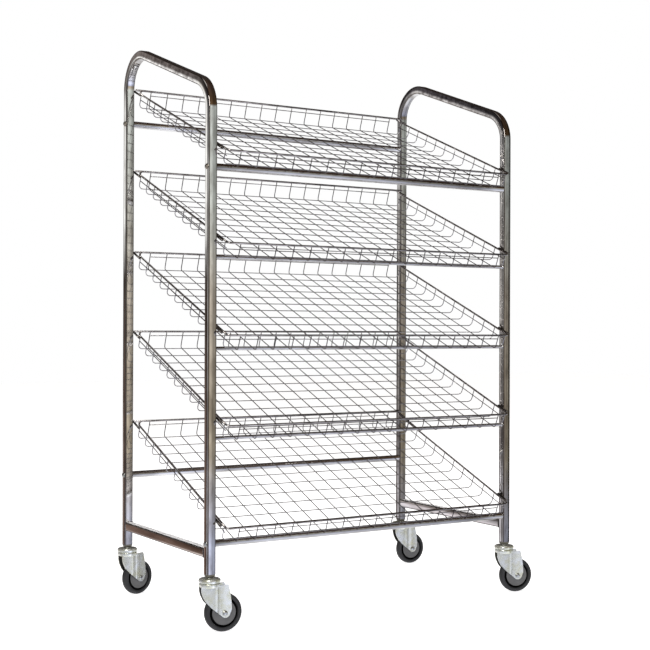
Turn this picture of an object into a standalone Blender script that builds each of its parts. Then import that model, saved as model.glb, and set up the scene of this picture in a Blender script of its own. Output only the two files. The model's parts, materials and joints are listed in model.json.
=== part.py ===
"""Wheeled book cart: two tubular end frames carrying five sloping wire baskets on four swivel casters.

Metres, +Z up, +X along the baskets, -Y towards their low front edge. The origin is on the floor, under
the middle of the cart's footprint.
"""

from math import atan2, cos, pi, radians, sin, tan

import bmesh
import bpy
from mathutils import Matrix, Vector

# ---- end frames -------------------------------------------------------------------------------------
FRAME_WIDTH = 0.996          # over the outer faces of the two end frames
FRAME_DEPTH = 0.550          # over the front and rear posts
TUBE = 0.024                 # square tube, across the flats
TUBE_WALL = 0.0015
TUBE_CORNER = 0.003
POST_FOOT_Z = 0.1495         # lower end of every post
FLANGE_BOTTOM = 0.1417       # underside of the plug in it
PLUG_LENGTH = 0.030
BAR_FRONT_Z = 1.4077         # where the sloping top bar's upper side would meet the front post's front face
BAR_REAR_Z = 1.6065          # the same at the rear post's rear face
BEND_RADIUS = 0.088          # hoop bends, on the tube's centre line
BEND_STEPS = 6
GAP = 0.0003                 # left between pieces that touch

# ---- cross tubes ------------------------------------------------------------------------------------
RAIL_RADIUS = 0.0095
RAIL_BORE = 0.0080
RAIL_PLUG = 0.014            # threaded insert in each end of a rail
RAIL_HEIGHTS = {"top_front": 1.1893, "top_rear": 1.3680, "bottom_front": 0.2265, "bottom_rear": 0.3505}
TIE_Z = 0.2023               # square tube welded low in each end frame
ROD_RADIUS = 0.005           # thin rods under the fronts of baskets 2 to 4
BOLT_SHANK = 0.0040
BOLT_LENGTH = 0.036
BOLT_HEAD = 0.0090
BOLT_HEAD_HEIGHT = 0.0055

# ---- wire baskets -----------------------------------------------------------------------------------
FRONT_RIM_Z = (1.2280, 0.9932, 0.7584, 0.5286, 0.2682)   # baskets 1 to 5, top to bottom
FRONT_RIM_Y = -0.310
TILT = radians(22.4)
BASKET_WIDTH = 0.922         # centre to centre of the side rims
BASKET_DEPTH = 0.604         # front rim to rear rim, along the slope
FRONT_WALL = 0.042           # height of the front and side walls, square to the floor
REAR_WALL = 0.050
REAR_LEAN = 0.005            # the rear wall opens outwards by this much over its height
RIM_RADIUS = 0.00275
WIRE_RADIUS = 0.0018
WIRE_STEP = 0.0030           # the crosswise wires lie on top of the lengthwise ones
CORNER_RADIUS = 0.020
SLOPE_WIRES = 17             # wires that run down the slope
SLOPE_PITCH = 0.053
CROSS_WIRES = 12             # wires that run along the cart
CROSS_PITCH = 0.0520
SIDE_BEND = 0.012            # radius where the crosswise wires turn up
LUG_RADIUS = 0.0056          # short rods that join the basket to the posts
FRONT_LUG = 0.066
REAR_LUG = 0.052

# ---- casters ----------------------------------------------------------------------------------------
WHEEL_RADIUS = 0.050
TRAIL = 0.036                # swivel axis to axle
SWIVELS = {"front_left": -8, "front_right": -16, "rear_left": 15, "rear_right": -3}   # degrees about +Z
RACE_RADIUS = 0.0285
RACE_BOTTOM = 0.1285
RACE_TOP = 0.1392
CROWN_RADIUS = 0.0275
CROWN_BOTTOM = 0.1165
PLATE_THICKNESS = 0.0024
PLATE_OUTER = 0.0170         # half the fork's width over its plates
CREASE_X = 0.008             # the plates turn inwards ahead of this line
CREASE_SLOPE = 0.19
PIN_RADIUS = 0.0050
STEM_RADIUS = 0.0060
STEM_TOP = 0.1720
AXLE_RADIUS = 0.0040
AXLE_HEAD = 0.0068
AXLE_HEAD_HEIGHT = 0.0045
CLEAR = 0.0003               # running clearance
STEM_COLLAR = 0.0105
RIVET_RADIUS = 0.0085
RIVET_HEIGHT = 0.0042
HUB_BOSS = 0.0110            # radius of the hub's raised middle
HUB_BOSS_Y = 0.0138          # half the hub's width there
HUB_DISC = 0.0335
HUB_DISC_Y = 0.0105
HUB_RIM = 0.0380
HUB_RIM_Y = 0.0070
TYRE_SHOULDER = 0.0445
TYRE_HALF = 0.0118           # half the tyre's greatest width
TREAD_HALF = 0.0045

# ---- sides round the turned pieces ------------------------------------------------------------------
SMALL_STEPS = 10
RAIL_STEPS = 12
RACE_STEPS = 16
HUB_STEPS = 18
TYRE_STEPS = 24

POST_X = (FRAME_WIDTH - TUBE) / 2
POST_Y = (FRAME_DEPTH - TUBE) / 2
INNER_X = FRAME_WIDTH / 2 - TUBE
BAR_SLOPE = (BAR_REAR_Z - BAR_FRONT_Z) / FRAME_DEPTH
SIDES = {"left": -1, "right": 1}
ENDS = {"front": -1, "rear": 1}

STEEL_CHROME = ((0.60, 0.58, 0.54), 0.14, 1.0)
WIRE_CHROME = ((0.42, 0.41, 0.40), 0.22, 1.0)
ZINC = ((0.66, 0.68, 0.62), 0.30, 1.0)
DARK_ZINC = ((0.10, 0.09, 0.08), 0.35, 1.0)
TYRE_GREY = ((0.085, 0.085, 0.088), 0.62, 0.0)
HUB_GREY = ((0.155, 0.155, 0.160), 0.48, 0.0)
PLUG_GREY = ((0.30, 0.30, 0.27), 0.40, 0.0)


def clear_scene():
    for old in list(bpy.data.objects):
        bpy.data.objects.remove(old, do_unlink=True)


def new_collection(name):
    made = bpy.data.collections.new(name)
    bpy.context.scene.collection.children.link(made)
    return made


def new_material(name, look):
    colour, roughness, metallic = look
    made = bpy.data.materials.new(name)
    made.use_nodes = True
    shader = made.node_tree.nodes["Principled BSDF"]
    shader.inputs["Base Color"].default_value = (*colour, 1.0)
    shader.inputs["Roughness"].default_value = roughness
    shader.inputs["Metallic"].default_value = metallic
    made.diffuse_color = (*colour, 1.0)
    return made


def add_object(name, data, collection, parent=None, look=None, location=(0, 0, 0), rotation=(0, 0, 0)):
    made = bpy.data.objects.new(name, data)
    collection.objects.link(made)
    made.parent = parent
    made.location = location
    made.rotation_euler = rotation
    if look:
        made.data.materials.clear()
        made.data.materials.append(new_material(name, look))
    return made


def add_empty(name, collection, parent=None, location=(0, 0, 0), rotation=(0, 0, 0)):
    made = add_object(name, None, collection, parent, None, location, rotation)
    made.empty_display_size = 0.05
    return made


def arc(centre, radius, start, end, steps):
    """Points of a plane arc; start and end are angles in radians."""
    return [(centre[0] + radius * cos(start + (end - start) * k / steps),
             centre[1] + radius * sin(start + (end - start) * k / steps)) for k in range(steps + 1)]


def poly_curve(name, points, closed=False, turn=0.0):
    data = bpy.data.curves.new(name, "CURVE")
    data.dimensions = "3D"
    spline = data.splines.new("POLY")
    spline.points.add(len(points) - 1)
    for point, place in zip(spline.points, points):
        point.co = (*place, 1.0)
        point.tilt = turn
    spline.use_cyclic_u = closed
    return data


def curve_mesh(name, data):
    """The curve's swept surface as a mesh, its caps welded on."""
    holder = bpy.data.objects.new(name, data)
    bpy.context.scene.collection.objects.link(holder)
    bpy.context.view_layer.update()
    evaluated = holder.evaluated_get(bpy.context.evaluated_depsgraph_get())
    mesh = bpy.data.meshes.new_from_object(evaluated)
    bpy.data.objects.remove(holder, do_unlink=True)
    shape = bmesh.new()
    shape.from_mesh(mesh)
    bmesh.ops.remove_doubles(shape, verts=shape.verts, dist=0.00002)
    bmesh.ops.recalc_face_normals(shape, faces=shape.faces)
    shape.to_mesh(mesh)
    shape.free()
    mesh.name = name
    return mesh


def wire_mesh(name, points, radius, sides=4, closed=False, turn=0.0):
    data = poly_curve(name, points, closed, turn)
    data.bevel_depth = radius
    data.bevel_resolution = (sides - 4) // 2
    data.use_fill_caps = not closed
    return curve_mesh(name, data)


def joined_mesh(name, meshes):
    """Several closed meshes in one, still separate shells."""
    shape = bmesh.new()
    for mesh in meshes:
        shape.from_mesh(mesh)
        bpy.data.meshes.remove(mesh)
    mesh = bpy.data.meshes.new(name)
    shape.to_mesh(mesh)
    shape.free()
    return mesh


def turned_mesh(name, profile, steps, axis="Z", closed=False):
    """A turned solid. profile holds (radius, height) from top to bottom down the outer side."""
    data = bpy.data.meshes.new(name)
    holder = bpy.data.objects.new(name, data)
    bpy.context.scene.collection.objects.link(holder)
    shape = bmesh.new()
    verts = [shape.verts.new((radius, 0, height)) for radius, height in profile]
    for first, second in zip(verts, verts[1:]):
        shape.edges.new((first, second))
    if closed:
        shape.edges.new((verts[-1], verts[0]))
    shape.to_mesh(data)
    shape.free()
    screw = holder.modifiers.new("turn", "SCREW")
    screw.steps = steps
    screw.render_steps = steps
    screw.use_merge_vertices = True
    screw.merge_threshold = 0.00002
    bpy.context.view_layer.update()
    evaluated = holder.evaluated_get(bpy.context.evaluated_depsgraph_get())
    mesh = bpy.data.meshes.new_from_object(evaluated)
    bpy.data.objects.remove(holder, do_unlink=True)
    turn = {"X": Matrix.Rotation(pi / 2, 4, "Y"), "Y": Matrix.Rotation(-pi / 2, 4, "X"), "Z": Matrix()}[axis]
    mesh.transform(turn)
    shape = bmesh.new()
    shape.from_mesh(mesh)
    bmesh.ops.remove_doubles(shape, verts=shape.verts, dist=0.00002)
    bmesh.ops.recalc_face_normals(shape, faces=shape.faces)
    shape.to_mesh(mesh)
    shape.free()
    mesh.shade_smooth()
    mesh.set_sharp_from_angle(angle=radians(40))
    mesh.name = name
    return mesh


def boolean(target, cutter, operation, self_meets=False):
    step = target.modifiers.new(operation.lower(), "BOOLEAN")
    step.operation = operation
    step.solver = "EXACT"
    step.use_self = self_meets
    step.object = cutter
    return step


def even_triangles(target):
    """Splits the faces that a union leaves with no needle-thin triangles."""
    step = target.modifiers.new("triangles", "TRIANGULATE")
    step.quad_method = "BEAUTY"
    step.ngon_method = "BEAUTY"


def hide_guide(guide):
    guide.hide_render = True
    guide.display_type = "WIRE"


# ---- end frames -------------------------------------------------------------------------------------

def hoop_path():
    """Centre line of an end frame in the YZ plane: up the front post, over the sloping bar, down the rear."""
    slope = atan2(BAR_REAR_Z - BAR_FRONT_Z, FRAME_DEPTH)
    drop = TUBE / 2 / cos(slope)
    front = Vector((-POST_Y, BAR_FRONT_Z + TUBE / 2 * BAR_SLOPE - drop))
    rear = Vector((POST_Y, BAR_REAR_Z - TUBE / 2 * BAR_SLOPE - drop))
    front_turn = pi / 2 - slope
    rear_turn = pi / 2 + slope
    front_reach = BEND_RADIUS * tan(front_turn / 2)
    rear_reach = BEND_RADIUS * tan(rear_turn / 2)
    front_centre = (front.x + BEND_RADIUS, front.y - front_reach)
    rear_centre = (rear.x - BEND_RADIUS, rear.y - rear_reach)
    front_bend = arc(front_centre, BEND_RADIUS, pi, pi - front_turn, BEND_STEPS)
    rear_bend = arc(rear_centre, BEND_RADIUS, rear_turn, 0, BEND_STEPS + 2)
    outline = [(-POST_Y, POST_FOOT_Z), *front_bend, *rear_bend, (POST_Y, POST_FOOT_Z)]
    return [(0, y, z) for y, z in outline]


def tube_section(collection):
    """Rounded square that the hoop's curve carries along."""
    half = TUBE / 2
    inner = half - TUBE_CORNER
    corners = ((inner, inner, 0), (-inner, inner, 1), (-inner, -inner, 2), (inner, -inner, 3))
    points = []
    for x, y, quarter in corners:
        points += arc((x, y), TUBE_CORNER, quarter * pi / 2, (quarter + 1) * pi / 2, 1)
    outline = poly_curve("tube_section", [(x, y, 0) for x, y in points], True)
    section = add_object("tube_section", outline, collection)
    hide_guide(section)
    return section


def bolt_holes(collection):
    drills = []
    for rail, height in RAIL_HEIGHTS.items():
        y = ENDS[rail.split("_")[1]] * POST_Y
        rod = [(BOLT_SHANK + GAP, TUBE), (BOLT_SHANK + GAP, -TUBE)]
        drill = turned_mesh("drill", [(0, TUBE), *rod, (0, -TUBE)], SMALL_STEPS, "X")
        drill.transform(Matrix.Translation((0, y, height)))
        drills.append(drill)
    cutter = add_object("bolt_holes", joined_mesh("bolt_holes", drills), collection)
    hide_guide(cutter)
    return cutter


def square_tube_skin(name, points, section):
    """Open outer skin of a square tube along a path."""
    path = poly_curve(name, points)
    path.bevel_mode = "OBJECT"
    path.bevel_object = section
    path.use_fill_caps = False
    return curve_mesh(name, path)


def give_wall(tube):
    wall = tube.modifiers.new("wall", "SOLIDIFY")
    wall.thickness = TUBE_WALL
    wall.offset = -1


def build_end_frames(parts, guides, root):
    """The two hoops and the short square tube welded across the foot of each."""
    section = tube_section(guides)
    skin = square_tube_skin("hoop", hoop_path(), section)
    reach = POST_Y - TUBE / 2 - GAP
    tie_skin = square_tube_skin("tie", [(0, -reach, 0), (0, reach, 0)], section)
    holes = bolt_holes(guides)
    for side, sign in SIDES.items():
        hoop = add_object(f"end_frame_{side}", skin.copy(), parts, root, STEEL_CHROME, (sign * POST_X, 0, 0))
        give_wall(hoop)
        drill = holes if sign < 0 else add_object("bolt_holes_right", holes.data, guides)
        drill.parent = root
        drill.location = (sign * POST_X, 0, 0)
        hide_guide(drill)
        boolean(hoop, drill, "DIFFERENCE")
        tie_place = (sign * POST_X, 0, TIE_Z)
        give_wall(add_object(f"lower_tie_{side}", tie_skin.copy(), parts, root, STEEL_CHROME, tie_place))


def rail_mesh(name, length):
    """Round tube along X with a bored insert in each end."""
    half = length / 2
    step = half - RAIL_PLUG
    hole = BOLT_SHANK + GAP
    inside = [(hole, step), (RAIL_BORE, step), (RAIL_BORE, -step), (hole, -step)]
    profile = [(hole, half), (RAIL_RADIUS, half), (RAIL_RADIUS, -half), (hole, -half), *reversed(inside)]
    return turned_mesh(name, profile, RAIL_STEPS, "X", closed=True)


def build_cross_tubes(parts, root):
    span = 2 * (INNER_X - GAP)
    for rail, height in RAIL_HEIGHTS.items():
        mesh = rail_mesh(rail, span)
        y = ENDS[rail.split("_")[1]] * POST_Y
        add_object(f"rail_{rail}", mesh, parts, root, STEEL_CHROME, (0, y, height))


def build_bolts(parts, root):
    head = FRAME_WIDTH / 2 + GAP
    top = BOLT_HEAD_HEIGHT
    dome = [(0, top), (BOLT_HEAD * 0.62, top * 0.78), (BOLT_HEAD, top * 0.2), (BOLT_HEAD, 0)]
    profile = [*dome, (BOLT_SHANK, 0), (BOLT_SHANK, -BOLT_LENGTH), (0, -BOLT_LENGTH)]
    for rail, height in RAIL_HEIGHTS.items():
        end = rail.split("_")[1]
        look = DARK_ZINC if rail.startswith("top") else ZINC
        for side, sign in SIDES.items():
            mesh = turned_mesh("bolt", profile, SMALL_STEPS, "X")
            if sign < 0:
                mesh.transform(Matrix.Rotation(pi, 4, "Z"))
            place = (sign * head, ENDS[end] * POST_Y, height)
            add_object(f"bolt_{rail}_{side}", mesh, parts, root, look, place)


# ---- baskets ----------------------------------------------------------------------------------------

def basket_rim_points():
    """Closed loop in the basket's own frame: X across, Y up the slope, Z square to the floor."""
    half = BASKET_WIDTH / 2
    near = half - CORNER_RADIUS
    back = BASKET_DEPTH - CORNER_RADIUS
    rise = REAR_WALL - FRONT_WALL
    points = [(x, y, FRONT_WALL) for x, y in arc((-near, CORNER_RADIUS), CORNER_RADIUS, pi, 1.5 * pi, 3)]
    points += [(x, y, FRONT_WALL) for x, y in arc((near, CORNER_RADIUS), CORNER_RADIUS, 1.5 * pi, 2 * pi, 3)]
    right = arc((near, back), CORNER_RADIUS, 0, pi / 2, 3)
    points += [(x, y, FRONT_WALL + rise * k / 3) for k, (x, y) in enumerate(right)]
    left = arc((-near, back), CORNER_RADIUS, pi / 2, pi, 3)
    points += [(x, y, REAR_WALL - rise * k / 3) for k, (x, y) in enumerate(left)]
    return points


def slope_wire_points(x):
    """Front rim, down the front wall, up the slope, up the rear wall."""
    return [(x, 0, FRONT_WALL), (x, 0, 0), (x, BASKET_DEPTH - REAR_LEAN, 0), (x, BASKET_DEPTH, REAR_WALL)]


def cross_wire_points(y):
    """Left rim, round the large bend, along the floor on top of the slope wires, and up to the right rim."""
    half = BASKET_WIDTH / 2
    near = half - SIDE_BEND
    left = arc((-near, WIRE_STEP + SIDE_BEND), SIDE_BEND, pi, 1.5 * pi, 1)
    right = arc((near, WIRE_STEP + SIDE_BEND), SIDE_BEND, 1.5 * pi, 2 * pi, 1)
    return [(-half, y, FRONT_WALL), *[(x, y, z) for x, z in left], *[(x, y, z) for x, z in right],
            (half, y, FRONT_WALL)]


def basket_wires():
    wires = []
    for k in range(SLOPE_WIRES):
        x = (k - (SLOPE_WIRES - 1) / 2) * SLOPE_PITCH
        wires.append(wire_mesh("slope_wire", slope_wire_points(x), WIRE_RADIUS, turn=pi / 4))
    margin = (BASKET_DEPTH - REAR_LEAN - (CROSS_WIRES - 1) * CROSS_PITCH) / 2
    for k in range(CROSS_WIRES):
        points = cross_wire_points(margin + k * CROSS_PITCH)
        wires.append(wire_mesh("cross_wire", points, WIRE_RADIUS, turn=pi / 4))
    return wires


def basket_lugs():
    """Short rods outside the side rims, one beside each post, and the ends of the rear rim rod."""
    x = INNER_X - GAP - LUG_RADIUS
    post_front = (-POST_Y - FRONT_RIM_Y) / cos(TILT)
    post_rear = (POST_Y - FRONT_RIM_Y) / cos(TILT)
    lugs = []
    for sign in SIDES.values():
        for middle, length in ((post_front, FRONT_LUG), (post_rear + 0.006 - REAR_LUG / 2, REAR_LUG)):
            run = [(sign * x, middle - length / 2, FRONT_WALL), (sign * x, middle + length / 2, FRONT_WALL)]
            lugs.append(wire_mesh("lug", run, LUG_RADIUS, 8))
    return lugs


def build_baskets(parts, guides, root):
    rim = wire_mesh("basket_rim", basket_rim_points(), RIM_RADIUS, 4, closed=True, turn=pi / 4)
    wires = joined_mesh("basket_wires", basket_wires() + basket_lugs())
    for number, height in enumerate(FRONT_RIM_Z, 1):
        place = Vector((0, FRONT_RIM_Y, height)) + Vector((0, sin(TILT), -cos(TILT))) * FRONT_WALL
        cutter = add_object(f"basket_{number}_wires", wires, guides, root, None, place, (TILT, 0, 0))
        hide_guide(cutter)
        basket = add_object(f"basket_{number}", rim.copy(), parts, root, WIRE_CHROME, place, (TILT, 0, 0))
        boolean(basket, cutter, "UNION", self_meets=True)
        even_triangles(basket)
    for number, height in enumerate(FRONT_RIM_Z[1:4], 2):
        foot = Vector((0, FRONT_RIM_Y, height)) + Vector((0, sin(TILT), -cos(TILT))) * FRONT_WALL
        below = ROD_RADIUS + WIRE_RADIUS + GAP
        z = foot.z + (-POST_Y - foot.y) * tan(TILT) - below / cos(TILT)
        half = INNER_X - GAP
        rod = wire_mesh("rod", [(-half, 0, 0), (half, 0, 0)], ROD_RADIUS, 8)
        add_object(f"support_rod_{number}", rod, parts, root, STEEL_CHROME, (0, -POST_Y, z))


# ---- casters ----------------------------------------------------------------------------------------

def plug_block(name, width, low, high):
    """Square block between two heights, its upright and lower edges chamfered to suit the tube's corners."""
    shape = bmesh.new()
    place = Matrix.Translation((0, 0, (low + high) / 2)) @ Matrix.Diagonal((width, width, high - low, 1))
    bmesh.ops.create_cube(shape, size=1, matrix=place)
    middle = (low + high) / 2
    edges = [edge for edge in shape.edges if min(vert.co.z for vert in edge.verts) < middle]
    bmesh.ops.bevel(shape, geom=edges, offset=TUBE_CORNER, segments=1, affect="EDGES")
    mesh = bpy.data.meshes.new(name)
    shape.to_mesh(mesh)
    shape.free()
    return mesh


def build_plug(parts, guides, post, name):
    """Square plug in the foot of a post, with a flange below the tube and a bore for the stem."""
    inside = TUBE - 2 * TUBE_WALL - 2 * GAP
    low = (FLANGE_BOTTOM + POST_FOOT_Z) / 2
    body = plug_block("plug", inside, low, low + PLUG_LENGTH)
    plug = add_object(f"plug_{name}", body, parts, post, PLUG_GREY)
    lip = plug_block("flange", TUBE - 2 * GAP, FLANGE_BOTTOM, POST_FOOT_Z - GAP)
    flange = add_object(f"flange_{name}", lip, guides, post)
    bore = STEM_RADIUS + GAP
    drill = turned_mesh("drill", [(0, 2 * STEM_TOP), (bore, 2 * STEM_TOP), (bore, 0), (0, 0)], SMALL_STEPS)
    hole = add_object(f"stem_hole_{name}", drill, guides, post)
    for guide in (flange, hole):
        hide_guide(guide)
    boolean(plug, flange, "UNION")
    boolean(plug, hole, "DIFFERENCE")


def stem_mesh():
    """Rivet head, pin through the race and the crown, collar under the plug, and the stem inside it."""
    collar_top = FLANGE_BOTTOM - GAP
    rivet_top = CROWN_BOTTOM - GAP
    rivet_low = rivet_top - RIVET_HEIGHT
    return turned_mesh("stem", [
        (0, STEM_TOP), (STEM_RADIUS, STEM_TOP), (STEM_RADIUS, collar_top), (STEM_COLLAR, collar_top),
        (STEM_COLLAR, RACE_TOP + GAP), (PIN_RADIUS, RACE_TOP + GAP), (PIN_RADIUS, rivet_top),
        (RIVET_RADIUS, rivet_top), (RIVET_RADIUS * 0.7, rivet_low), (0, rivet_low)], SMALL_STEPS)


def race_mesh():
    """Upper race: a flat pressed ring with a rounded brim."""
    bore = PIN_RADIUS + CLEAR
    mid = (RACE_TOP + RACE_BOTTOM) / 2
    brim = [(RACE_RADIUS - 0.0040, RACE_TOP), (RACE_RADIUS, mid), (RACE_RADIUS - 0.0012, RACE_BOTTOM)]
    return turned_mesh("race", [(bore, RACE_TOP), *brim, (bore, RACE_BOTTOM)], RACE_STEPS, closed=True)


def crown_mesh():
    """Lower race, the round top of the fork."""
    bore = PIN_RADIUS + CLEAR
    top = RACE_BOTTOM - CLEAR
    return turned_mesh("crown", [
        (bore, top), (CROWN_RADIUS, top), (CROWN_RADIUS - 0.0015, CROWN_BOTTOM), (bore, CROWN_BOTTOM)],
        RACE_STEPS, closed=True)


def plate_mesh(side):
    """One cheek of the fork: a flat outline round the axle, its leading part bent in along a crease."""
    tip = arc((TRAIL + 0.0015, WHEEL_RADIUS + 0.0010), 0.0130, -0.1 * pi, -0.75 * pi, 5)
    trailing = [(0.0440, 0.1225), (0.0500, 0.1040), (0.0552, 0.0800), (0.0552, 0.0560)]
    leading = [(-0.0140, 0.0790), (-0.0262, 0.1060), (-0.0255, 0.1225)]
    outline = [*trailing, *tip, *leading]
    shape = bmesh.new()
    face = shape.faces.new([shape.verts.new((x, 0, z)) for x, z in outline])
    pushed = bmesh.ops.extrude_face_region(shape, geom=[face])
    front = [item for item in pushed["geom"] if isinstance(item, bmesh.types.BMVert)]
    bmesh.ops.translate(shape, vec=(0, side * PLATE_THICKNESS, 0), verts=front)
    bmesh.ops.bisect_plane(shape, geom=shape.verts[:] + shape.edges[:] + shape.faces[:],
                           plane_co=(CREASE_X, 0, 0), plane_no=(1, 0, 0))
    bmesh.ops.translate(shape, vec=(0, side * (PLATE_OUTER - PLATE_THICKNESS), 0), verts=shape.verts)
    for vert in shape.verts:
        if vert.co.x < CREASE_X:
            vert.co.y -= side * (CREASE_X - vert.co.x) * CREASE_SLOPE
    bmesh.ops.recalc_face_normals(shape, faces=shape.faces)
    mesh = bpy.data.meshes.new("cheek")
    shape.to_mesh(mesh)
    shape.free()
    return mesh


def axle_hole_mesh():
    bore = AXLE_RADIUS + CLEAR
    far = 2 * PLATE_OUTER
    mesh = turned_mesh("axle_hole", [(0, far), (bore, far), (bore, -far), (0, -far)], SMALL_STEPS, "Y")
    mesh.transform(Matrix.Translation((TRAIL, 0, WHEEL_RADIUS)))
    return mesh


def axle_mesh():
    """Axle bolt with a low domed head at each end, in place in the fork."""
    out = PLATE_OUTER + CLEAR
    head = [(0, out + AXLE_HEAD_HEIGHT), (AXLE_HEAD * 0.75, out + AXLE_HEAD_HEIGHT), (AXLE_HEAD, out)]
    half = [*head, (AXLE_RADIUS, out)]
    mesh = turned_mesh("axle", half + [(r, -y) for r, y in reversed(half)], SMALL_STEPS, "Y")
    mesh.transform(Matrix.Translation((TRAIL, 0, WHEEL_RADIUS)))
    return mesh


def hub_mesh():
    bore = AXLE_RADIUS + CLEAR
    face = [(bore, HUB_BOSS_Y), (HUB_BOSS, HUB_BOSS_Y), (HUB_BOSS, HUB_DISC_Y), (HUB_DISC, HUB_DISC_Y),
            (HUB_DISC, HUB_RIM_Y), (HUB_RIM, HUB_RIM_Y)]
    return turned_mesh("hub", face + [(r, -y) for r, y in reversed(face)], HUB_STEPS, "Y", closed=True)


def tyre_mesh():
    inner = HUB_RIM + CLEAR
    round_off = WHEEL_RADIUS - 0.0017
    tread = [(round_off, TREAD_HALF * 2), (WHEEL_RADIUS, TREAD_HALF)]
    face = [(inner, TYRE_HALF), (TYRE_SHOULDER, TYRE_HALF), *tread]
    return turned_mesh("tyre", face + [(r, -y) for r, y in reversed(face)], TYRE_STEPS, "Y", closed=True)


def build_casters(parts, guides, root):
    stem, race, crown = stem_mesh(), race_mesh(), crown_mesh()
    cheeks = joined_mesh("cheeks", [plate_mesh(-1), plate_mesh(1)])
    hole, axle, hub, tyre = axle_hole_mesh(), axle_mesh(), hub_mesh(), tyre_mesh()
    for name, angle in SWIVELS.items():
        end, side = name.split("_")
        place = (SIDES[side] * POST_X, ENDS[end] * POST_Y, 0)
        post = add_empty(f"post_axis_{name}", parts, root, place)
        swivel = add_empty(f"swivel_axis_{name}", parts, root, place, (0, 0, radians(angle)))
        wheel = add_empty(f"wheel_axis_{name}", parts, swivel, (TRAIL, 0, WHEEL_RADIUS))
        build_plug(parts, guides, post, name)
        add_object(f"stem_{name}", stem.copy(), parts, post, ZINC)
        add_object(f"race_{name}", race.copy(), parts, post, ZINC)
        fork = add_object(f"fork_{name}", crown.copy(), parts, swivel, ZINC)
        cheek = add_object(f"cheeks_{name}", cheeks, guides, swivel)
        drill = add_object(f"axle_hole_{name}", hole, guides, swivel)
        for guide in (cheek, drill):
            hide_guide(guide)
        boolean(fork, cheek, "UNION")
        boolean(fork, drill, "DIFFERENCE")
        add_object(f"axle_{name}", axle.copy(), parts, swivel, ZINC)
        add_object(f"hub_{name}", hub.copy(), parts, wheel, HUB_GREY)
        add_object(f"tyre_{name}", tyre.copy(), parts, wheel, TYRE_GREY)


def world_bounds(objects):
    """Lowest and highest corners of the evaluated objects."""
    bpy.context.view_layer.update()
    graph = bpy.context.evaluated_depsgraph_get()
    corners = []
    for piece in objects:
        evaluated = piece.evaluated_get(graph)
        corners += [evaluated.matrix_world @ vert.co for vert in evaluated.data.vertices]
    return [(min(c[axis] for c in corners), max(c[axis] for c in corners)) for axis in range(3)]


def stand_on_origin(parts, root):
    """Moves the cart so that the middle of its footprint is at the origin."""
    bounds = world_bounds([piece for piece in parts.objects if piece.type == "MESH"])
    root.location = (-sum(bounds[0]) / 2, -sum(bounds[1]) / 2, -bounds[2][0])


def main():
    clear_scene()
    parts = new_collection("book_cart")
    guides = new_collection("cutters")
    root = add_empty("book_cart_origin", parts)
    build_end_frames(parts, guides, root)
    build_cross_tubes(parts, root)
    build_bolts(parts, root)
    build_baskets(parts, guides, root)
    build_casters(parts, guides, root)
    stand_on_origin(parts, root)


main()
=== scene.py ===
"""Looks for the book cart: chrome tube and wire, zinc casters with grey wheels, in a pale studio.

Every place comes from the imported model's boxes and joints. Metres, +Z up.
"""

import json
from math import atan2, cos, pi, radians, sin, tan

import bmesh
import bpy
from mathutils import Matrix, Vector


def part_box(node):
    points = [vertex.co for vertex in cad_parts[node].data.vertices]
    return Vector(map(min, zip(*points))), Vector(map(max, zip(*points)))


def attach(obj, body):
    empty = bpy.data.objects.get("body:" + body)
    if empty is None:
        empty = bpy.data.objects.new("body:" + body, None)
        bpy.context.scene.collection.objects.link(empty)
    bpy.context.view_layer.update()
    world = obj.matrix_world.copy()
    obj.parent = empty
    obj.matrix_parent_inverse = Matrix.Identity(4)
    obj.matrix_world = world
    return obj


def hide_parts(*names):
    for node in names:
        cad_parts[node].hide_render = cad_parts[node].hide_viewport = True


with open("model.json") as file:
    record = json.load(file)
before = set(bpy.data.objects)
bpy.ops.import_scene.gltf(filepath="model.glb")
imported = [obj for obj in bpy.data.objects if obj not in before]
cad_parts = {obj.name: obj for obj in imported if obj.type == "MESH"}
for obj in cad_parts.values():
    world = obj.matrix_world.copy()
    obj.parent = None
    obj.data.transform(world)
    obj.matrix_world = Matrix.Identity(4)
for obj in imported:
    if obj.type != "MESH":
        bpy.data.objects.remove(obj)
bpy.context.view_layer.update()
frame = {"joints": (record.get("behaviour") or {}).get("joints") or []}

# ---- places read from the frame ----------------------------------------------------------------------
LEFT_LOW, LEFT_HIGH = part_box("end_frame_left")
_, RIGHT_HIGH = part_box("end_frame_right")
MID_X = (LEFT_LOW[0] + RIGHT_HIGH[0]) / 2
MID_Y = (LEFT_LOW[1] + LEFT_HIGH[1]) / 2
FRAME_WIDTH = RIGHT_HIGH[0] - LEFT_LOW[0]
FRAME_DEPTH = LEFT_HIGH[1] - LEFT_LOW[1]
TUBE = LEFT_HIGH[0] - LEFT_LOW[0]
POST_FOOT_Z = LEFT_LOW[2]
HOOP_TOP = LEFT_HIGH[2]
POST_X = (FRAME_WIDTH - TUBE) / 2
POST_Y = (FRAME_DEPTH - TUBE) / 2
INNER_X = FRAME_WIDTH / 2 - TUBE
SIDES = {"left": -1, "right": 1}
ENDS = ("front", "rear")


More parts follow.
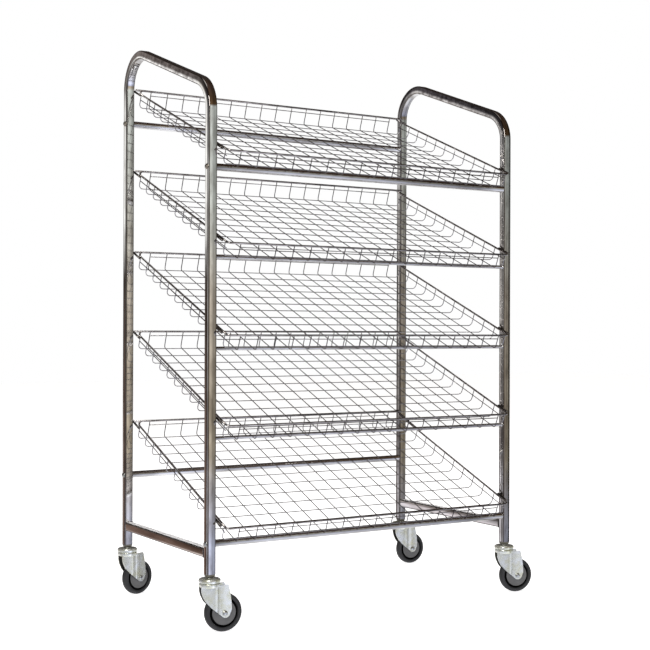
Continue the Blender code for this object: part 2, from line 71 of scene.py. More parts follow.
# ---- shape sizes -------------------------------------------------------------------------------------
TINY = 1e-6
FILLET_SHARE = 0.45                       # the most that a rounded corner takes of either of its sides
GAP = 0.0003                              # between pieces that touch, as in the solids
TUBE_CORNER = 0.0032
TUBE_WALL = 0.0015
CORNER_STEPS = 5
BAR_SLOPE = atan2(0.1988, 0.550)          # the top bar falls towards the front
BEND_RADIUS = 0.088
REAR_BEND_STEPS = 26
FRONT_BEND_STEPS = 20
POST_RINGS = (0.3, 0.7)                   # heights above the foot where a post's skin is divided
MOUTH_DEPTH = 0.02                        # how far up the hollow of a post's foot is drawn
RAIL_RADIUS = 0.0095
RAIL_WELD = 0.0004
ROD_RADIUS = 0.005
ROD_WELD = 0.0012
TIE_WELD = 0.0012
TIE_WELD_REACH = 0.0030

BASKETS = range(1, 6)
RODS = (2, 3, 4)                          # the baskets that rest on a support rod
TILT = radians(22.4)
BASKET_WIDTH = 0.922
BASKET_DEPTH = 0.604
FRONT_WALL = 0.042
REAR_WALL = 0.050
REAR_LEAN = 0.002
RIM_RADIUS = 0.00275
RIM_HALF = RIM_RADIUS * cos(pi / 4)       # the solid's rim is square; this is half its side
WIRE_RADIUS = 0.00128
WIRE_DOME = (0.35, 0.6)                   # rise and width of a wire's domed end, as shares of its radius
FLOOR_RISE = 0.0012                       # from the lowest point of a basket's box to its floor
CORNER_RADIUS = 0.012
SLOPE_WIRES = 17
SLOPE_PITCH = 0.053
CROSS_WIRES = 12
CROSS_PITCH = 0.0520
SIDE_BEND = 0.012
END_BEND = 0.009
BEND_STEPS = 6
SIDE_BEND_STEPS = 7
RIM_STEPS = 8
SIDE_WIRE_HEIGHT = 0.025
SIDE_WIRE_PAST = 0.006                    # how far the side walls' wires run past the last cross wires
WALL_WIRE_DROP = 0.012                    # the front and rear walls' wires hang this far under the rim
POST_GAP = 0.0005                         # between a basket's rods and the posts
REAR_ROD_RADIUS = 0.0030
LUG_RADIUS = 0.0030
LUG_INSET = 0.0012
LUG_RING = 0.003
FRONT_LUG = 0.066
FRONT_LUG_PAST = 0.009
REAR_LUG = 0.052
REAR_LUG_PAST = 0.006
BEAD_INSET = 0.003
BEAD = [(0, -0.009), (0.0018, -0.0075), (0.0030, -0.003), (0.0030, 0.003), (0.0018, 0.0075), (0, 0.009)]

WHEEL_RADIUS = 0.050
TRAIL = 0.036


# ---- mesh helpers ------------------------------------------------------------------------------------

class Shell:
    """Collects rings and faces of one piece."""

    def __init__(self):
        self.verts = []
        self.faces = []
        self.marks = []

    def ring(self, points):
        first = len(self.verts)
        self.verts += [Vector(p) for p in points]
        return list(range(first, first + len(points)))

    def face(self, corners, mark=0):
        self.faces.append(tuple(corners))
        self.marks.append(mark)

    def band(self, low, high, mark=0):
        for k in range(len(low)):
            n = (k + 1) % len(low)
            self.face((low[k], low[n], high[n], high[k]), mark)

    def mesh(self, name, sharp=40):
        data = bpy.data.meshes.new(name)
        data.from_pydata([tuple(v) for v in self.verts], [], self.faces)
        data.polygons.foreach_set("material_index", self.marks)
        shape = bmesh.new()
        shape.from_mesh(data)
        bmesh.ops.remove_doubles(shape, verts=shape.verts, dist=TINY)
        bmesh.ops.recalc_face_normals(shape, faces=shape.faces)
        shape.to_mesh(data)
        shape.free()
        data.shade_smooth()
        data.set_sharp_from_angle(angle=radians(sharp))
        return data


def arc(centre, radius, start, end, steps):
    """Points of a plane arc; start and end are angles in radians."""
    return [(centre[0] + radius * cos(start + (end - start) * k / steps),
             centre[1] + radius * sin(start + (end - start) * k / steps)) for k in range(steps + 1)]


def filleted(points, radius, steps=4):
    """An open outline of 2-D points with its inner corners rounded."""
    out = [points[0]]
    for before, here, after in zip(points, points[1:], points[2:]):
        a, b, c = Vector(before), Vector(here), Vector(after)
        into, away = (a - b), (c - b)
        reach = min(radius, into.length * FILLET_SHARE, away.length * FILLET_SHARE)
        p, q = b + into.normalized() * reach, b + away.normalized() * reach
        for k in range(steps + 1):
            t = k / steps
            out.append(tuple(p * (1 - t) ** 2 + b * 2 * t * (1 - t) + q * t ** 2))
    out.append(points[-1])
    return out


def wire(shell, points, radius, sides=8, closed=False, mark=0):
    """Round wire along 3-D points, with slightly domed ends."""
    points = [Vector(p) for p in points]
    count = len(points)
    tangents = []
    for k in range(count):
        if closed:
            along = points[(k + 1) % count] - points[k - 1]
        else:
            along = points[min(k + 1, count - 1)] - points[max(k - 1, 0)]
        tangents.append(along.normalized())

    def circle(centre, up, across, size):
        turns = [2 * pi * j / sides for j in range(sides)]
        return shell.ring([centre + (up * cos(turn) + across * sin(turn)) * size for turn in turns])

    up = tangents[0].orthogonal().normalized()
    rings = []
    for k, (point, along) in enumerate(zip(points, tangents)):
        up = (up - along * up.dot(along)).normalized()
        across = along.cross(up)
        rings.append(circle(point, up, across, radius))
        if not closed and k in (0, count - 1):
            out = along * (radius * WIRE_DOME[0]) * (-1 if k == 0 else 1)
            small = circle(point + out, up, across, radius * WIRE_DOME[1])
            shell.band(rings[-1], small, mark)
            shell.face(small, mark)
    for low, high in zip(rings, rings[1:]):
        shell.band(low, high, mark)
    if closed:
        shell.band(rings[-1], rings[0], mark)


def turned(shell, profile, place, steps=40, marks=None):
    """Turned skin: profile holds (radius, height along the local Z); place puts it in the world."""
    turns = [2 * pi * j / steps for j in range(steps)]
    rings = []
    for radius, height in profile:
        if radius < TINY:
            rings.append(shell.ring([place @ Vector((0, 0, height))]))
        else:
            rings.append(shell.ring([place @ Vector((radius * cos(turn), radius * sin(turn), height))
                                     for turn in turns]))
    for k, (low, high) in enumerate(zip(rings, rings[1:])):
        mark = marks[k] if marks else 0
        if len(low) == 1 or len(high) == 1:
            tip, rim = (low[0], high) if len(low) == 1 else (high[0], low)
            for j in range(steps):
                shell.face((tip, rim[j], rim[(j + 1) % steps]), mark)
        else:
            shell.band(low, high, mark)


def bored(shell, profile, place, steps, marks=None):
    """Turned skin closed by a straight bore between its last point and its first."""
    turned(shell, profile, place, steps, marks)
    turned(shell, [profile[-1], profile[0]], place, steps)


def mirrored_profile(half):
    """A half profile and its mirror image about height 0."""
    return half + [(radius, -height) for radius, height in reversed(half)]


def piece(name, data, body, materials, slot, nodes):
    """Puts a mesh in the scene: it rides a body and stands for the CAD nodes named."""
    made = bpy.data.objects.new(name, data)
    bpy.context.scene.collection.objects.link(made)
    for material in materials:
        data.materials.append(material)
    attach(made, body)
    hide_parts(*nodes)


# ---- materials ---------------------------------------------------------------------------------------
NOISE_ROUGHNESS = 0.55
PATCH_EDGES = (0.36, 0.66)                # noise levels where the colour starts and ends its change
ROUGH_EDGES = (0.3, 0.7)                  # the same for the roughness
ROUGH_SCALE = 2.3                         # the roughness pattern is this much finer than the colour's
LEAST_ROUGH = 0.02                        # no patch is smoother than this
GRAIN_DEPTH = 0.001
WAVE_SCALE = 9.0
WAVE_DEPTH = 0.004


def add_bump(nodes, links, height, strength, distance):
    made = nodes.new("ShaderNodeBump")
    made.inputs["Strength"].default_value = strength
    made.inputs["Distance"].default_value = distance
    links.new(height, made.inputs["Height"])
    return made


def surface(name, colour, roughness, metallic, tint=None, blotch=14.0, amount=0.25, rough_swing=0.08,
            grain=420.0, bump=0.02, wobble=0.0, stretch=(1, 1, 1), specular=0.5):
    """Principled material with mottled colour and roughness, fine grain and slow waviness, all procedural."""
    made = bpy.data.materials.new(name)
    made.use_nodes = True
    nodes, links = made.node_tree.nodes, made.node_tree.links
    shader = nodes["Principled BSDF"]
    shader.inputs["Metallic"].default_value = metallic
    shader.inputs["Specular IOR Level"].default_value = specular
    where = nodes.new("ShaderNodeTexCoord")
    mapping = nodes.new("ShaderNodeMapping")
    mapping.inputs["Scale"].default_value = stretch
    links.new(where.outputs["Object"], mapping.inputs["Vector"])

    def noise(scale, detail):
        node = nodes.new("ShaderNodeTexNoise")
        node.inputs["Scale"].default_value = scale
        node.inputs["Detail"].default_value = detail
        node.inputs["Roughness"].default_value = NOISE_ROUGHNESS
        links.new(mapping.outputs["Vector"], node.inputs["Vector"])
        return node.outputs["Fac"]

    ramp = nodes.new("ShaderNodeValToRGB")
    worn, clean = ramp.color_ramp.elements
    worn.position, clean.position = PATCH_EDGES
    worn.color = (*[c * (1 - amount) for c in (tint or colour)], 1)
    clean.color = (*colour, 1)
    links.new(noise(blotch, detail=5.0), ramp.inputs["Fac"])
    links.new(ramp.outputs["Color"], shader.inputs["Base Color"])
    spread = nodes.new("ShaderNodeMapRange")
    spread.inputs["From Min"].default_value = ROUGH_EDGES[0]
    spread.inputs["From Max"].default_value = ROUGH_EDGES[1]
    spread.inputs["To Min"].default_value = max(LEAST_ROUGH, roughness - rough_swing)
    spread.inputs["To Max"].default_value = roughness + rough_swing
    links.new(noise(blotch * ROUGH_SCALE, detail=6.0), spread.inputs["Value"])
    links.new(spread.outputs["Result"], shader.inputs["Roughness"])
    fine = add_bump(nodes, links, noise(grain, detail=3.0), bump, GRAIN_DEPTH)
    if wobble:
        slow = add_bump(nodes, links, noise(WAVE_SCALE, detail=2.0), wobble, WAVE_DEPTH)
        links.new(slow.outputs["Normal"], fine.inputs["Normal"])
    links.new(fine.outputs["Normal"], shader.inputs["Normal"])
    return made


CHROME = surface("chrome_tube", (0.86, 0.85, 0.83), 0.055, 1.0, tint=(0.66, 0.63, 0.60), amount=0.30,
                 rough_swing=0.03, blotch=42.0, bump=0.01, wobble=0.22, stretch=(1, 1, 0.35))
CHROME_BAR = surface("chrome_top_bar", (0.92, 0.90, 0.89), 0.08, 1.0, tint=(0.40, 0.37, 0.36), amount=0.35,
                     blotch=62.0, rough_swing=0.05, bump=0.02, grain=160.0, wobble=0.12,
                     stretch=(1, 0.8, 1))
# Darker chrome for the tubes' corners: painted shade lines, not a finish of their own.
CHROME_CORNER_SHADE = surface("chrome_tube_corner_painted_shade", (0.46, 0.43, 0.40), 0.12, 1.0, tint=(0.26, 0.23, 0.21),
                      amount=0.2, blotch=30.0, stretch=(1, 1, 0.3), wobble=0.1)
CHROME_TIE = surface("chrome_tie", (0.86, 0.84, 0.82), 0.08, 1.0, tint=(0.62, 0.56, 0.52), amount=0.3,
                     blotch=40.0, rough_swing=0.03, bump=0.01, wobble=0.06, stretch=(1, 0.12, 1))
# The tie's flat top: matt white and not metal, a painted reflection of the bright ceiling.
CHROME_TOP_REFLECTION = surface("chrome_tube_top_painted_reflection", (0.93, 0.92, 0.93), 0.80, 0.0, amount=0.06, blotch=18.0,
                     specular=0.0, stretch=(1, 0.3, 1))
RAIL = surface("chrome_rail", (0.86, 0.85, 0.84), 0.06, 1.0, tint=(0.66, 0.63, 0.59), amount=0.15,
               blotch=18.0, rough_swing=0.03, bump=0.01, wobble=0.1, stretch=(0.4, 1, 1))
WIRE = surface("chrome_wire", (0.60, 0.58, 0.57), 0.20, 1.0, tint=(0.38, 0.35, 0.34), amount=0.25,
               blotch=40.0, rough_swing=0.08, bump=0.03)
# A darker copy of the wire for the slope wires and the tie's corners: painted shade.
WIRE_SHADE = surface("chrome_wire_painted_shade", (0.24, 0.22, 0.21), 0.22, 1.0, tint=(0.13, 0.115, 0.11),
                    amount=0.25, blotch=40.0, rough_swing=0.08, bump=0.03)
RIM = surface("chrome_rim", (0.62, 0.59, 0.57), 0.16, 1.0, tint=(0.36, 0.33, 0.31), amount=0.25,
              blotch=30.0)
# The chrome lugs and their beads drawn dark: a painted shade line beside the rims.
LUG_SHADE = surface("lug_painted_shade", (0.20, 0.18, 0.165), 0.34, 1.0, tint=(0.12, 0.105, 0.095), amount=0.3, blotch=60.0)
ZINC = surface("zinc", (0.88, 0.91, 0.90), 0.22, 0.74, tint=(0.84, 0.84, 0.66), amount=0.10, blotch=44.0,
               rough_swing=0.04, bump=0.004, wobble=0.06)
# Near-black zinc for the cheeks' inner faces: painted shade under the crown.
ZINC_SHADE = surface("zinc_inside_painted_shade", (0.17, 0.17, 0.16), 0.38, 0.8, amount=0.2, blotch=44.0)
ZINC_BOLT = surface("zinc_bolt", (0.72, 0.73, 0.69), 0.28, 1.0, amount=0.25, blotch=80.0)
DARK_BOLT = surface("dark_bolt", (0.52, 0.47, 0.41), 0.26, 1.0, amount=0.35, blotch=80.0)
PLUG = surface("post_plug", (0.20, 0.19, 0.16), 0.40, 0.4, amount=0.2, blotch=60.0)
TYRE = surface("tyre_rubber", (0.036, 0.036, 0.038), 0.55, 0.0, tint=(0.027, 0.027, 0.029), amount=0.15,
               rough_swing=0.10, bump=0.25, grain=520.0, blotch=26.0, specular=0.35)
# Near-black for the recess between hub and tyre: painted shade.
GROOVE_SHADE = surface("wheel_groove_painted_shade", (0.002, 0.002, 0.002), 0.70, 0.0, amount=0.3, bump=0.1, specular=0.05)
HUB = surface("hub_plastic", (0.128, 0.128, 0.131), 0.46, 0.0, tint=(0.114, 0.114, 0.118), amount=0.08,
              rough_swing=0.06, bump=0.08, grain=900.0, blotch=30.0, specular=0.35)



# ---- end frames --------------------------------------------------------------------------------------
CORNER_SHADE_MARK = 1                             # the corners' place in a hoop's or a tie's list of materials: painted shade lines along the corners, also on a post's foot end and in its hollow
BAR_MARK = 2                              # the top bar's place in a hoop's list


def hoop_path():
    """Centre line (y, z): up the front post, over the sloping bar, down the rear one."""
    front_turn = pi / 2 - BAR_SLOPE
    rear_turn = pi / 2 + BAR_SLOPE
    top = HOOP_TOP - TUBE / 2
    rear_centre = (POST_Y - BEND_RADIUS, top - BEND_RADIUS)
    rear = arc(rear_centre, BEND_RADIUS, rear_turn, 0, REAR_BEND_STEPS)
    start_y, start_z = rear[0]
    front_y = -POST_Y + BEND_RADIUS
    end_y = front_y - BEND_RADIUS * sin(BAR_SLOPE)
    end_z = start_z - (start_y - end_y) * tan(BAR_SLOPE)
    centre = (front_y, end_z - BEND_RADIUS * cos(BAR_SLOPE))
    front = arc(centre, BEND_RADIUS, pi, pi - front_turn, FRONT_BEND_STEPS)
    rising = [POST_FOOT_Z, *[POST_FOOT_Z + height for height in POST_RINGS]]
    line = [(-POST_Y, z) for z in rising] + front + rear + [(POST_Y, z) for z in reversed(rising)]
    return [Vector(p) for p in line]


def tube_outline(half, corner):
    """Rounded square and, for each of its sides, whether it belongs to a corner."""
    points, round_off = [], []
    for quarter, (a, b) in enumerate(((1, 1), (-1, 1), (-1, -1), (1, -1))):
        centre = (a * (half - corner), b * (half - corner))
        points += arc(centre, corner, quarter * pi / 2, (quarter + 1) * pi / 2, CORNER_STEPS)
        round_off += [True] * CORNER_STEPS + [False]
    return points, round_off


def build_hoop(side, sign):
    """Square tube along the hoop's path: flat faces, corners darkened as painted shade lines, and the mottled
    top bar.
    """
    path = hoop_path()
    outline, corners = tube_outline(TUBE / 2, TUBE_CORNER)
    inner, _ = tube_outline(TUBE / 2 - TUBE_WALL, TUBE_CORNER - TUBE_WALL)
    middle_x = MID_X + sign * POST_X
    shell = Shell()
    rings = []
    for k, point in enumerate(path):
        ahead = path[min(k + 1, len(path) - 1)] - path[max(k - 1, 0)]
        if k in (0, len(path) - 1):
            ahead = Vector((0, 1 if k == 0 else -1))
        along = ahead.normalized()
        out = Vector((-along.y, along.x))
        rings.append(shell.ring([(middle_x + u, MID_Y + point.x + out.x * v, point.y + out.y * v)
                                 for u, v in outline]))
    bar = max(range(len(path) - 1), key=lambda k: path[k + 1].x - path[k].x)
    for k, (low, high) in enumerate(zip(rings, rings[1:])):
        for j in range(len(low)):
            n = (j + 1) % len(low)
            flat = BAR_MARK if k == bar else 0
            shell.face((low[j], low[n], high[n], high[j]), CORNER_SHADE_MARK if corners[j] else flat)
    # The post's foot end and its hollow take the corners' darker chrome, a painted shade.
    for ring, point, flip in ((rings[0], path[0], 1), (rings[-1], path[-1], -1)):
        mouth, deep = (shell.ring([(middle_x + u, MID_Y + point.x - flip * v, point.y + height)
                                   for u, v in inner]) for height in (0, MOUTH_DEPTH))
        shell.band(ring, mouth, CORNER_SHADE_MARK)
        shell.band(mouth, deep, CORNER_SHADE_MARK)
        shell.face(deep, CORNER_SHADE_MARK)
    piece(f"hoop_{side}", shell.mesh(f"hoop_{side}"), "frame", (CHROME, CHROME_CORNER_SHADE, CHROME_BAR),
          "chrome_tube", (f"end_frame_{side}",))


def build_hoops():
    for side, sign in SIDES.items():
        build_hoop(side, sign)


# ---- cross tubes and bolts ---------------------------------------------------------------------------
WASHER = [(0, 0.0002), (0.0074, 0.0002), (0.0074, 0.0009), (0.0069, 0.0013), (0, 0.0013)]
HEXAGON = ((0.0058, 0.0012), (0.0058, 0.0036), (0.0051, 0.0043))
DOME = [(0.0045, 0.0042), (0.0037, 0.0047), (0.0021, 0.0050), (0, 0.0051)]
SHANK = [(0, -0.0002), (0.0040, -0.0002), (0.0040, -0.030), (0, -0.030)]
ROD_SPAN = 0.8                            # the share of a rod that its inner rings cover
ROD_BEAD = ((1, 0), (1, 0.4), (0.25, 1), (0, 2.2))   # weld bead: (rise, reach) as shares of its height
TIE_BEAD_MARK, TIE_TOP_REFLECTION_MARK = 2, 3        # places in the tie's list of materials; the flat top is a white painted reflection of the ceiling


def along_x(place, sign=1):
    """Turns a local Z to +X or -X at a place."""
    return Matrix.Translation(place) @ Matrix.Rotation(sign * pi / 2, 4, "Y")


def build_rod(name, node, radius, weld):
    """Round tube along X on its node's box, with a weld bead where it meets the posts."""
    low, high = (Vector(corner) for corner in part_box(node))
    half = (high.x - low.x) / 2
    end = [(0, -half)] + [(radius + weld * rise, -half + weld * reach) for rise, reach in ROD_BEAD]
    rings = [(radius, ROD_SPAN * half * (k / 3 - 1)) for k in range(7)]
    profile = end + rings + [(r, -h) for r, h in reversed(end)]
    shell = Shell()
    turned(shell, profile, along_x((low + high) / 2), steps=36)
    piece(name, shell.mesh(name, sharp=50), "frame", (RAIL,), "chrome_tube", (node,))


def build_tie(side, sign):
    """Square tube between the posts of one end frame, with a weld bead round either end; its corners carry
    painted shade lines and its flat top a white painted reflection.
    """
    low, high = (Vector(corner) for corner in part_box(f"lower_tie_{side}"))
    level = (low.z + high.z) / 2
    reach = POST_Y - TUBE / 2 - GAP
    outline, corners = tube_outline(TUBE / 2, TUBE_CORNER)
    weld, _ = tube_outline(TUBE / 2 + TIE_WELD, TUBE_CORNER + TIE_WELD)
    top = TUBE / 2 - 0.0001               # only the flat top face stands higher than this
    shell = Shell()

    def ring(points, y):
        return shell.ring([(MID_X + sign * POST_X + u, MID_Y + y, level + v) for u, v in points])

    rings = [ring(outline, reach * share) for share in (-1, -0.5, 0, 0.5, 1)]
    for a, b in zip(rings, rings[1:]):
        for j in range(len(a)):
            n = (j + 1) % len(a)
            on_top = min(outline[j][1], outline[n][1]) > top
            side_mark = CORNER_SHADE_MARK if corners[j] else 0
            shell.face((a[j], a[n], b[n], b[j]), TIE_TOP_REFLECTION_MARK if on_top else side_mark)
    for end, way in ((-reach, 1), (reach, -1)):
        beads = [ring(weld, end), ring(weld, end + way * TIE_WELD), ring(outline, end + way * TIE_WELD_REACH)]
        for a, b in zip(beads, beads[1:]):
            shell.band(a, b, TIE_BEAD_MARK)
        shell.face(ring(weld, end), TIE_BEAD_MARK)
    piece(f"tie_{side}", shell.mesh(f"tie_{side}"), "frame", (CHROME_TIE, WIRE_SHADE, WIRE, CHROME_TOP_REFLECTION),
          "chrome_tube", (f"lower_tie_{side}",))


def build_bolt(name, node, side, material, slot):
    """Bolt on the end frame's outer face: washer, hexagon with a low dome, and its shank."""
    low, high = (Vector(corner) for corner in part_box(node))
    sign = SIDES[side]
    face_x = MID_X + sign * FRAME_WIDTH / 2
    place = along_x(Vector((face_x, (low.y + high.y) / 2, (low.z + high.z) / 2)), sign)
    shell = Shell()
    turned(shell, WASHER, place, steps=28)
    hexes = [shell.ring([place @ Vector((across * cos(k * pi / 3), across * sin(k * pi / 3), height))
                         for k in range(6)]) for across, height in HEXAGON]
    for a, b in zip(hexes, hexes[1:]):
        shell.band(a, b)
    shell.face(hexes[0])
    shell.face(hexes[-1])
    turned(shell, DOME, place, steps=24)
    turned(shell, SHANK, place, steps=16)
    piece(name, shell.mesh(name, sharp=30), "frame", (material,), slot, (node,))


def build_cross_tubes():
    for level, material, slot in (("top", DARK_BOLT, "dark_bolt"), ("bottom", ZINC_BOLT, "zinc")):
        for end in ENDS:
            build_rod(f"cross_rail_{level}_{end}", f"rail_{level}_{end}", RAIL_RADIUS, RAIL_WELD)
            for side in SIDES:
                build_bolt(f"head_{level}_{end}_{side}", f"bolt_{level}_{end}_{side}", side, material, slot)
    for side, sign in SIDES.items():
        build_tie(side, sign)
    for number in RODS:
        build_rod(f"rod_{number}", f"support_rod_{number}", ROD_RADIUS, ROD_WELD)


# ---- baskets -----------------------------------------------------------------------------------------
RIM_MARK, LUG_MARK, SLOPE_SHADE_MARK = 1, 2, 3   # places in the basket's list of materials; the slope wires are a darker copy of the wire and the lugs are drawn dark, both painted shade


def rim_loop():
    """Round the four corners, rising a little along the rear ones."""
    half = BASKET_WIDTH / 2
    near = half - CORNER_RADIUS
    back = BASKET_DEPTH - CORNER_RADIUS
    rise = REAR_WALL - FRONT_WALL
    left_front = arc((-near, CORNER_RADIUS), CORNER_RADIUS, pi, 1.5 * pi, RIM_STEPS)
    right_front = arc((near, CORNER_RADIUS), CORNER_RADIUS, 1.5 * pi, 2 * pi, RIM_STEPS)
    points = [(x, y, FRONT_WALL) for x, y in left_front + right_front]
    right = arc((near, back), CORNER_RADIUS, 0, pi / 2, RIM_STEPS)
    points += [(x, y, FRONT_WALL + rise * sin(k / RIM_STEPS * pi / 2)) for k, (x, y) in enumerate(right)]
    left = arc((-near, back), CORNER_RADIUS, pi / 2, pi, RIM_STEPS)
    points += [(x, y, FRONT_WALL + rise * cos(k / RIM_STEPS * pi / 2)) for k, (x, y) in enumerate(left)]
    return points


def slope_wire(x):
    """Front rim, down the front wall, up the slope, up the rear wall."""
    line = [(0, FRONT_WALL), (0, 0), (BASKET_DEPTH - REAR_LEAN, 0), (BASKET_DEPTH, REAR_WALL)]
    return [(x, u, w) for u, w in filleted(line, END_BEND, BEND_STEPS)]


def cross_wire(y):
    """Left rim, down the side wall, along the floor, up the other side wall."""
    half = BASKET_WIDTH / 2
    lift = 2 * WIRE_RADIUS
    near = half - SIDE_BEND
    left = arc((-near, lift + SIDE_BEND), SIDE_BEND, pi, 1.5 * pi, SIDE_BEND_STEPS)
    right = arc((near, lift + SIDE_BEND), SIDE_BEND, 1.5 * pi, 2 * pi, SIDE_BEND_STEPS)
    return [(-half, y, FRONT_WALL), *[(x, y, z) for x, z in left], *[(x, y, z) for x, z in right],
            (half, y, FRONT_WALL)]


def basket_places():
    """Where each basket's own frame sits: its box is lowest under the mesh and starts at the front rim."""
    places = {}
    for number in BASKETS:
        low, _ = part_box(f"basket_{number}")
        front = low[1] + RIM_HALF * (cos(TILT) + sin(TILT)) + FRONT_WALL * sin(TILT)
        places[number] = Vector((MID_X, front, low[2] + FLOOR_RISE))
    return places


class BasketWires:
    """Runs wires in a basket's own frame: x along the cart, y up the slope, z square to the floor."""

    def __init__(self, shell, place):
        self.shell = shell
        self.stand = Matrix.Translation(place) @ Matrix.Rotation(TILT, 4, "X")

    def run(self, points, radius=WIRE_RADIUS, sides=8, closed=False, mark=0):
        wire(self.shell, [self.stand @ Vector(p) for p in points], radius, sides, closed, mark)


def add_mesh(wires):
    """The wires down the slope and along the cart, and those that run round the walls."""
    margin = (BASKET_DEPTH - REAR_LEAN - (CROSS_WIRES - 1) * CROSS_PITCH) / 2
    first = (SLOPE_WIRES - 1) / 2 * SLOPE_PITCH
    last = margin + (CROSS_WIRES - 1) * CROSS_PITCH
    inset = 2 * WIRE_RADIUS
    for k in range(SLOPE_WIRES):
        # The slope wires take the darker wire, a painted shade.
        wires.run(slope_wire(k * SLOPE_PITCH - first), mark=SLOPE_SHADE_MARK)
    for k in range(CROSS_WIRES):
        wires.run(cross_wire(margin + k * CROSS_PITCH))
    for sign in SIDES.values():
        x = sign * (BASKET_WIDTH / 2 - inset)
        wires.run([(x, y, SIDE_WIRE_HEIGHT) for y in (margin - SIDE_WIRE_PAST, last + SIDE_WIRE_PAST)])
    rear_y = BASKET_DEPTH - REAR_LEAN * WALL_WIRE_DROP / REAR_WALL - inset
    for y, wall in ((inset, FRONT_WALL), (rear_y, REAR_WALL)):
        wires.run([(-first, y, wall - WALL_WIRE_DROP), (first, y, wall - WALL_WIRE_DROP)])


def add_rim(wires):
    """The rim rod and the longer rod along its rear side, which reaches the posts."""
    wires.run(rim_loop(), RIM_RADIUS, sides=12, closed=True, mark=RIM_MARK)
    ends = [(sign * (INNER_X - POST_GAP), BASKET_DEPTH, REAR_WALL) for sign in SIDES.values()]
    wires.run(ends, REAR_ROD_RADIUS, sides=12, mark=RIM_MARK)


def add_lugs(wires, place):
    """The short rods beside the side rims, and their weld beads on the posts."""
    front_post, rear_post = ((way * POST_Y - (place.y - MID_Y) + FRONT_WALL * sin(TILT)) / cos(TILT)
                             for way in (-1, 1))
    upright = Matrix.Rotation(-pi / 2 + TILT, 4, "X")
    for sign in SIDES.values():
        x = sign * (INNER_X - POST_GAP - LUG_RADIUS - LUG_INSET)
        for near, far in ((front_post - FRONT_LUG / 2, front_post + FRONT_LUG_PAST),
                          (rear_post + REAR_LUG_PAST - REAR_LUG, rear_post + REAR_LUG_PAST)):
            wires.run([(x, near, FRONT_WALL), (x, near + LUG_RING, FRONT_WALL), (x, far, FRONT_WALL)],
                      LUG_RADIUS, sides=14, mark=LUG_MARK)
        for middle in (front_post, rear_post):
            bead = wires.stand @ Vector((sign * (INNER_X - BEAD_INSET), middle, FRONT_WALL))
            turned(wires.shell, BEAD, Matrix.Translation(bead) @ upright, steps=12,
                   marks=[LUG_MARK] * (len(BEAD) - 1))


def build_baskets():
    for number, place in basket_places().items():
        shell = Shell()
        wires = BasketWires(shell, place)
        add_mesh(wires)
        add_rim(wires)
        add_lugs(wires, place)
        name = f"wire_basket_{number}"
        piece(name, shell.mesh(name, sharp=60), "frame", (WIRE, RIM, LUG_SHADE, WIRE_SHADE), "chrome_wire",
              (f"basket_{number}",))


# ---- casters -----------------------------------------------------------------------------------------
# Turned profiles hold (radius, height): heights above the floor, or along the axle from the wheel's middle.
FOOT_CORNER = 0.0040
FOOT_LEVELS = ((0.0052, 0.1417), (0.0028, 0.1422), (0.0010, 0.1440), (0.0, 0.1470), (0.0, POST_FOOT_Z - GAP))
SPIGOT_CORNER = 0.0016
SPIGOT_LEVELS = ((0, POST_FOOT_Z - 0.0002), (0, 0.1750))
STEM = [(0, 0.1720), (0.0060, 0.1720), (0.0060, 0.1414), (0.0105, 0.1414), (0.0105, 0.1396), (0.0050, 0.1395),
        (0.0050, 0.1162), (0.0085, 0.1162), (0.0080, 0.1135), (0.0050, 0.1120), (0, 0.1120)]
RACE = [(0.0053, 0.1388), (0.0125, 0.1388), (0.0150, 0.1378), (0.0190, 0.1378), (0.0215, 0.1392),
        (0.0248, 0.1390), (0.0274, 0.1372), (0.0285, 0.1345), (0.0285, 0.1318), (0.0277, 0.1290),
        (0.0262, 0.1285), (0.0240, 0.1288), (0.0053, 0.1288)]
CROWN = [(0.0053, 0.1282), (0.0235, 0.1282), (0.0252, 0.1276), (0.0268, 0.1268), (0.0275, 0.1245),
         (0.0272, 0.1205), (0.0258, 0.1172), (0.0225, 0.1165), (0.0053, 0.1165)]
AXLE = [(0, 0.0218), (0.0036, 0.0217), (0.0058, 0.0205), (0.0068, 0.0186), (0.0068, 0.0173), (0.0040, 0.0173)]
HUB_SIDE = [(0.0043, 0.0138), (0.0100, 0.0138), (0.0112, 0.0128), (0.0118, 0.0104), (0.0200, 0.0098),
            (0.0290, 0.0100), (0.0312, 0.0103), (0.0319, 0.0097), (0.0321, 0.0050), (0.0380, 0.0045)]
HUB_MARKS = [0, 0, 0, 0, 0, 0, 0, 1, 1]   # the groove round the hub is nearly black, a painted shade
TYRE_SIDE = [(0.0383, 0.0100), (0.0392, 0.0114), (0.0420, 0.0118), (0.0448, 0.0113), (0.0472, 0.0098),
             (0.0489, 0.0072), (0.0498, 0.0038)]

CHEEK_THICK = 0.0024
CHEEK_OUTER = 0.0170
CHEEK_FRONT = [(0.0440, 0.1225), (0.0458, 0.1218), (0.0464, 0.1200), (0.0490, 0.1080), (0.0512, 0.0960),
               (0.0532, 0.0820), (0.0542, 0.0700), (0.0544, 0.0580)]
CHEEK_REAR = [(0.0010, 0.0640), (-0.0140, 0.0800), (-0.0215, 0.0940), (-0.0250, 0.1060), (-0.0255, 0.1175)]
TIP_CENTRE = (TRAIL + 0.0015, WHEEL_RADIUS + 0.0010)
TIP_RADIUS = 0.0130
TIP_START, TIP_END, TIP_STEPS = -0.06 * pi, -0.76 * pi, 14
CREASES = (-0.012, 0.0045, 0.006, 0.0075, 0.0092, 0.0160, 0.0175, 0.0195, 0.0215, 0.0230, 0.034, 0.044)
CREASE_LEVELS = (0.070, 0.085, 0.100, 0.112)
LEAN_FROM, LEAN_SLOPE = 0.0045, 0.17      # behind this x the cheek leans inwards
JOG_FROM, JOG_RUN, JOG_DEPTH = 0.0092, 0.0047, 0.0016
